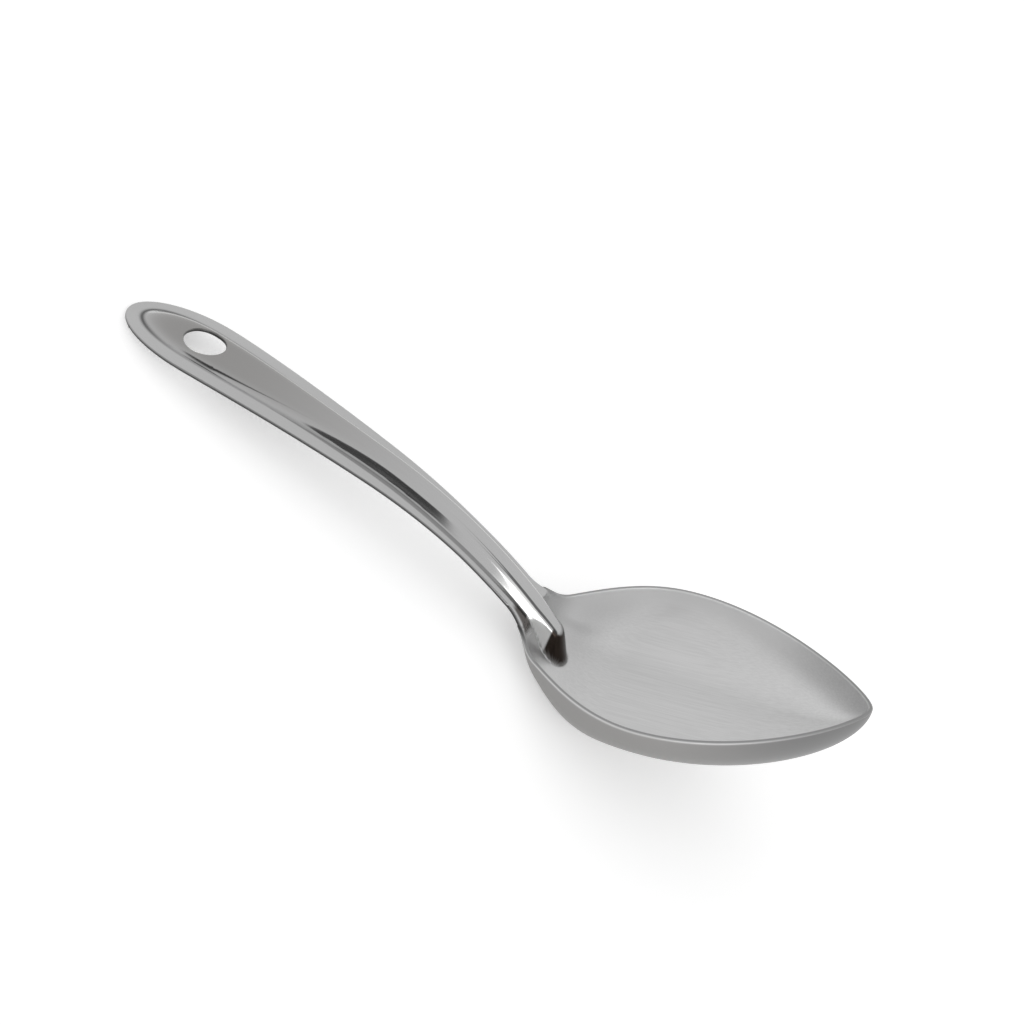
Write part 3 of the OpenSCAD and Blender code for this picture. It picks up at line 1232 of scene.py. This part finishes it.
@dataclass
class Handle:
    """The ribbed handle with its raised end and hanging hole, in millimetres from the neck's bend."""

    surface: SpoonSurface
    node: str = "handle"
    slot: str = "polished_steel"
    corner: float = -144.0
    base: float = -108.0
    end_rows: int = 70
    row_step: float = 0.6

    def build(self, thickness: SheetThickness) -> bpy.types.Object:
        """Builds the handle's sheet from its end to the seam.

        Args:
            thickness: Tree that gives the upper face its sheet.

        Returns:
            The finished piece.
        """
        sizes = self.surface.sizes
        length = -sizes.neck_l - self.base
        rows = np.linspace(self.base, -sizes.neck_l, int(length / self.row_step))
        grid = SheetGrid(self.surface, Side.HANDLE_END, self.corner, self.base, self.end_rows, rows)
        hole = HangingHole(sizes.hole_inset - sizes.handle_l, 0.5 * sizes.hole_d)
        return thickness.thicken(self.node + "_pressing", grid.mesh_parts(hole), sizes, self.dress())

    @staticmethod
    def dress() -> bpy.types.Material:
        """Polished finish with a duller raised end, whose darker grey is painted shade."""
        return POLISHED.material()


@dataclass(frozen=True)
class SoftBox:
    """A large soft lamp."""

    name: str
    place: Triple
    aim: Triple
    width: float
    height: float
    watts: float

    def build(self) -> bpy.types.Object:
        """Hangs the lamp and turns it to its aim.

        Returns:
            The lamp.
        """
        lamp = bpy.data.lights.new(self.name, "AREA")
        lamp.shape = "RECTANGLE"
        lamp.size = self.width
        lamp.size_y = self.height
        lamp.energy = self.watts
        hung = bpy.data.objects.new(self.name, lamp)
        bpy.context.collection.objects.link(hung)
        hung.location = self.place
        ahead = Vector(self.aim) - Vector(self.place)
        hung.rotation_euler = ahead.to_track_quat("-Z", "Y").to_euler()
        return hung


@dataclass(frozen=True)
class Viewpoint:
    """The photograph's camera: its place, its turned frame and its focal length."""

    place_mm: Triple = (-7.4, -208.0, 194.4)
    right: Triple = (0.76656, 0.36443, 0.52876)
    down: Triple = (0.63998, -0.50159, -0.58210)
    focal_px: float = 1000.0
    image_px: float = 1024.0
    sensor_mm: float = 36.0
    near_clip: float = 0.01

    def build(self) -> bpy.types.Object:
        """Sets the camera up and makes it the scene's.

        Returns:
            The camera.
        """
        camera = bpy.data.cameras.new("camera")
        camera.sensor_width = self.sensor_mm
        camera.lens = self.focal_px / self.image_px * self.sensor_mm
        camera.clip_start = self.near_clip
        held = bpy.data.objects.new("camera", camera)
        bpy.context.collection.objects.link(held)
        right = Vector(self.right).normalized()
        up = -Vector(self.down).normalized()
        back = right.cross(up)
        turned = Matrix((right, up, back)).transposed().to_4x4()
        held.matrix_world = Matrix.Translation(Vector(self.place_mm) * MILLIMETRE) @ turned
        bpy.context.scene.camera = held
        return held


@dataclass(frozen=True)
class RoomPanel:
    """An upright panel of the room with soft edges, darker than the rest."""

    name: str
    azimuth_deg: float
    half_width_deg: float
    low_deg: float
    high_deg: float
    soft_deg: float
    level: float

    def edges(self, angle_deg: float) -> Span:
        """Sines of the angles at which a soft edge starts and stops."""
        half = 0.5 * self.soft_deg
        return math.sin(math.radians(angle_deg - half)), math.sin(math.radians(angle_deg + half))

    def over(self, way: Signal, grey: Union[float, Signal]) -> Signal:
        """Lays the panel over the room's grey, in a node that carries its name.

        Args:
            way: Direction into the room.
            grey: Grey of the room so far.

        Returns:
            Grey of the room with the panel.
        """
        azimuth = math.radians(self.azimuth_deg)
        ahead = self.reach(way, (math.sin(azimuth), math.cos(azimuth), 0.0))
        aside = self.reach(way, (math.cos(azimuth), -math.sin(azimuth), 0.0))
        height = self.reach(way, (0.0, 0.0, 1.0))
        offset = way.maker.node("ShaderNodeMath", {"operation": "ABSOLUTE"}, {0: aside})["Value"]
        across = 1.0 - offset.between(*self.edges(self.half_width_deg))
        above_foot = height.between(*self.edges(self.low_deg))
        upward = above_foot * (1.0 - height.between(*self.edges(self.high_deg)))
        share = across * upward * ahead.between(0.0, self.edges(0.0)[1])
        laid = grey + share * (self.level - grey)
        laid.socket.node.label = self.name
        return laid

    @staticmethod
    def reach(way: Signal, axis: Triple) -> Signal:
        """How far a direction reaches along an axis."""
        return way.maker.node("ShaderNodeVectorMath", {"operation": "DOT_PRODUCT"},
                              {0: way, 1: axis})["Value"]


@dataclass
class Studio:
    """Pale floor, one soft lamp, and a pale room whose few dark panels only reflections show."""

    floor_half: float = 8.0
    floor_grey: float = 0.9
    floor_lift: float = 0.34
    room_grey: float = 0.87
    panels: Tuple[RoomPanel, ...] = (
        RoomPanel("doorway", azimuth_deg=-176, half_width_deg=7, low_deg=2, high_deg=21,
                  soft_deg=3, level=0.08),
        RoomPanel("dark ceiling", azimuth_deg=-127, half_width_deg=7, low_deg=47, high_deg=58,
                  soft_deg=5, level=0.06),
        RoomPanel("dark beam", azimuth_deg=85, half_width_deg=22, low_deg=43, high_deg=66,
                  soft_deg=5, level=0.22),
    )
    boxes: Tuple[SoftBox, ...] = (
        SoftBox("front_box", place=(0.58, -1.0, 0.32), aim=(0.0, 0.0, 0.0),
                width=0.5, height=0.5, watts=1.4),
    )

    def build(self) -> None:
        """Builds the floor, the room, the lamps and the camera."""
        self.floor()
        self.room()
        for box in self.boxes:
            box.build()
        Viewpoint().build()
        bpy.context.scene.view_settings.view_transform = "Standard"

    def floor(self) -> None:
        """Lays the floor, which is lifted to white where it is seen but keeps its shadow."""
        half = self.floor_half
        sheet = bpy.data.meshes.new("floor")
        sheet.from_pydata([(-half, -half, 0), (half, -half, 0), (half, half, 0), (-half, half, 0)], [],
                          [(0, 1, 2, 3)])
        laid = bpy.data.objects.new("floor", sheet)
        bpy.context.collection.objects.link(laid)
        pale = bpy.data.materials.new("pale_floor")
        pale.use_nodes = True
        pale.node_tree.nodes.clear()
        maker = NodeMaker(pale.node_tree)
        path = maker.node("ShaderNodeLightPath", {}, {})
        seen = path["Is Camera Ray"] + path["Is Glossy Ray"] + path["Is Transmission Ray"]
        grey = self.floor_grey
        matt = maker.node("ShaderNodeBsdfDiffuse", {}, {"Color": (grey, grey, grey, 1.0)})["BSDF"]
        lift = maker.node("ShaderNodeEmission", {}, {"Color": (1.0, 1.0, 1.0, 1.0),
                                                    "Strength": seen * self.floor_lift})["Emission"]
        both = maker.node("ShaderNodeAddShader", {}, {0: matt, 1: lift})["Shader"]
        maker.node("ShaderNodeOutputMaterial", {}, {"Surface": both})
        sheet.materials.append(pale)

    def room(self) -> None:
        """Gives the room its grey and its panels, which the camera sees as plain white."""
        world = bpy.data.worlds.new("room")
        bpy.context.scene.world = world
        world.use_nodes = True
        world.node_tree.nodes.clear()
        maker = NodeMaker(world.node_tree)
        way = maker.node("ShaderNodeTexCoord", {}, {})["Generated"]
        grey: Union[float, Signal] = self.room_grey
        for panel in self.panels:
            grey = panel.over(way, grey)
        seen = maker.node("ShaderNodeLightPath", {}, {})["Is Camera Ray"]
        shown = grey + seen * (1.0 - grey)
        glow = maker.node("ShaderNodeBackground", {},
                          {"Color": (1.0, 1.0, 1.0, 1.0), "Strength": shown})["Background"]
        maker.node("ShaderNodeOutputWorld", {}, {"Surface": glow})


def main() -> None:
    """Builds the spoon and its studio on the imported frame."""
    logging.basicConfig(level=logging.INFO)
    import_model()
    surface = SpoonSurface(SheetSizes())
    thickness = SheetThickness()
    for part in (Bowl(surface), Handle(surface)):
        piece = part.build(thickness)
        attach(piece, ROOT_BODY)
        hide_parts(part.node)
        LOG.info("%s: %d faces", piece.name, len(piece.data.polygons))
    Studio().build()


if __name__ == "__main__":
    main()
